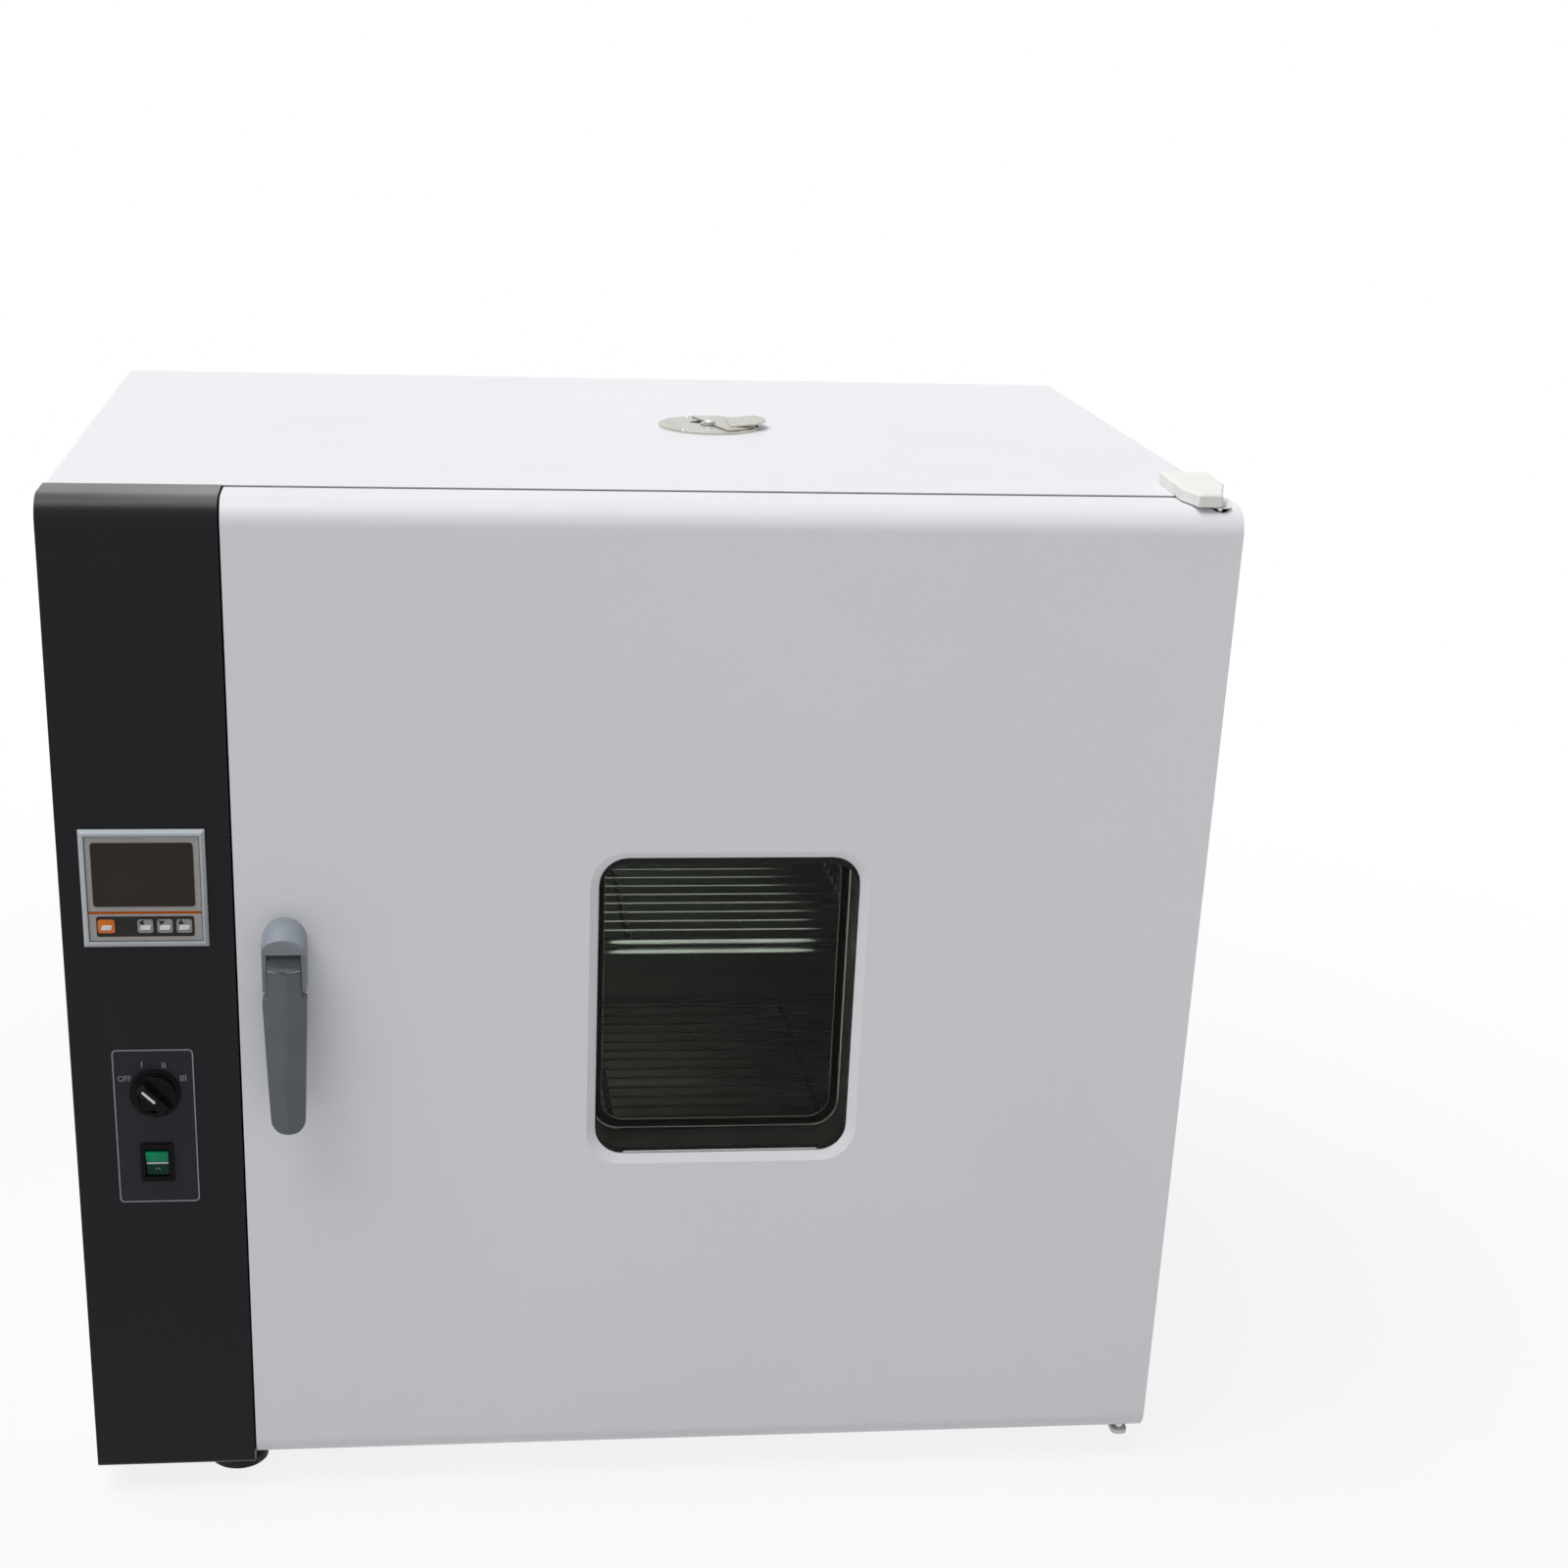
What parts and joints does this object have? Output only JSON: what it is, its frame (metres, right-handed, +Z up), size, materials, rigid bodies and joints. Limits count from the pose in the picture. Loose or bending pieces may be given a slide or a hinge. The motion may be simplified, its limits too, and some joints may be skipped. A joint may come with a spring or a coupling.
{
  "type": "forced-air drying oven",
  "caption": "Bench drying oven with a right-hinged door, round-cornered chamber, side air duct with fan, wire shelves and a black control column on the left.",
  "frame": {"origin": "on the floor, in the middle of the overall box", "axes": "+X to the right seen from the front, +Y to the rear, +Z up"},
  "size_m": [0.91, 0.691, 0.861],
  "materials": {
    "white_paint": "powder coat, satin",
    "black_paint": "powder coat, satin",
    "galvanised_steel": "zinc coat",
    "cast_aluminium": "cast, matt",
    "stainless_steel": "brushed",
    "bright_wire": "polished",
    "heater_sheath": "oxidised",
    "glass_wool": "mineral fibre",
    "nickel_plate": "satin nickel",
    "zinc_plate": "bright zinc",
    "brass_bush": "plain",
    "controller_frame": "moulded",
    "controller_face": "moulded",
    "screen_brown": "gloss",
    "label_foil": "satin film",
    "black_plastic": "moulded",
    "green_rocker": "tinted gloss",
    "orange_key": "gloss",
    "grey_key": "gloss",
    "clear_glass": "clear",
    "silicone_seal": "silicone",
    "handle_light": "moulded",
    "handle_dark": "moulded",
    "ivory_plastic": "moulded",
    "terminal_plastic": "moulded",
    "foot_rubber": "moulded"
  },
  "bodies": {
    "cabinet": {"base_pan": "galvanised_steel", "cable_gland": "black_plastic", "chamber_liner": "stainless_steel", "compartment_wall": "galvanised_steel", "control_column": "black_paint", "controller_case": "controller_frame", "controller_face": "controller_face", "controller_screen": "screen_brown", "duct_panel": "stainless_steel", "fan_motor": "cast_aluminium", "fan_switch_body": "black_plastic", "floor_plate": "stainless_steel", "front_frame": "white_paint", "heater_elements": "heater_sheath", "heater_relay": "black_plastic", "hinge_cap_top": "ivory_plastic", "hinge_pins": "bright_wire", "hinge_plate_bottom": "galvanised_steel", "hinge_plate_top": "white_paint", "insulation_slabs": "glass_wool", "label_plate": "label_foil", "latch_striker": "zinc_plate", "outer_wrapper": "white_paint", "power_switch_housing": "black_plastic", "rear_panel": "white_paint", "relay_heat_sink": "cast_aluminium", "rubber_feet": "foot_rubber", "shelf_rails": "stainless_steel", "temperature_probe": "bright_wire", "terminal_block": "terminal_plastic", "vent_plate": "nickel_plate", "vent_screw": "nickel_plate", "vent_tube": "stainless_steel"},
    "door": {"door_skin": "white_paint", "door_inner_panel": "stainless_steel", "door_insulation": "glass_wool", "window_tunnel": "stainless_steel", "window_pane_outer": "clear_glass", "window_pane_inner": "clear_glass", "door_gasket": "silicone_seal", "handle_base": "handle_light", "handle_pin": "bright_wire", "hinge_bushes": "brass_bush"},
    "door_handle": {"handle_lever": "handle_dark", "latch_hook": "zinc_plate"},
    "fan_speed_knob": {"fan_knob": "black_plastic"},
    "power_rocker_body": {"power_rocker": "green_rocker"},
    "key_set_body": {"key_set": "orange_key"},
    "key_left_body": {"key_left": "grey_key"},
    "key_down_body": {"key_down": "grey_key"},
    "key_up_body": {"key_up": "grey_key"},
    "fan_rotor": {"fan_wheel": "galvanised_steel", "fan_shaft": "bright_wire"},
    "vent_slide": {"vent_damper": "nickel_plate"},
    "upper_shelf": {"shelf_upper": "bright_wire"},
    "lower_shelf": {"shelf_lower": "bright_wire"}
  },
  "joints": [
    {"name": "door_hinge", "type": "hinge", "parent": "cabinet", "child": "door", "pos_m": [0.4385, -0.2915, 0.44], "axis": [0, 0, 1], "range_deg": [0, 160]},
    {"name": "handle_pull", "type": "hinge", "parent": "door", "child": "door_handle", "pos_m": [-0.2838, -0.322, 0.49], "axis": [-1, 0, 0], "range_deg": [0, 35]},
    {"name": "fan_speed_turn", "type": "hinge", "parent": "cabinet", "child": "fan_speed_knob", "pos_m": [-0.39, -0.32, 0.3745], "axis": [0, 1, 0], "range_deg": [-22.5, 112.5]},
    {"name": "power_rock", "type": "hinge", "parent": "cabinet", "child": "power_rocker_body", "pos_m": [-0.3912, -0.303, 0.3132], "axis": [-1, 0, 0], "range_deg": [0, 18]},
    {"name": "key_set_press", "type": "slide", "parent": "cabinet", "child": "key_set_body", "axis": [0, 1, 0], "range_m": [0, 0.0008], "stiffness_N_per_m": 800},
    {"name": "key_left_press", "type": "slide", "parent": "cabinet", "child": "key_left_body", "axis": [0, 1, 0], "range_m": [0, 0.0008], "stiffness_N_per_m": 800},
    {"name": "key_down_press", "type": "slide", "parent": "cabinet", "child": "key_down_body", "axis": [0, 1, 0], "range_m": [0, 0.0008], "stiffness_N_per_m": 800},
    {"name": "key_up_press", "type": "slide", "parent": "cabinet", "child": "key_up_body", "axis": [0, 1, 0], "range_m": [0, 0.0008], "stiffness_N_per_m": 800},
    {"name": "fan_spin", "type": "hinge", "parent": "cabinet", "child": "fan_rotor", "pos_m": [-0.232, 0.009, 0.454], "axis": [1, 0, 0], "continuous": true},
    {"name": "vent_turn", "type": "hinge", "parent": "cabinet", "child": "vent_slide", "pos_m": [0.079, 0.044, 0.854], "axis": [0, 0, 1], "range_deg": [0, 150]},
    {"name": "upper_shelf_slide", "type": "slide", "parent": "cabinet", "child": "upper_shelf", "axis": [0, -1, 0], "range_m": [0, 0.035]},
    {"name": "lower_shelf_slide", "type": "slide", "parent": "cabinet", "child": "lower_shelf", "axis": [0, -1, 0], "range_m": [0, 0.035]}
  ]
}
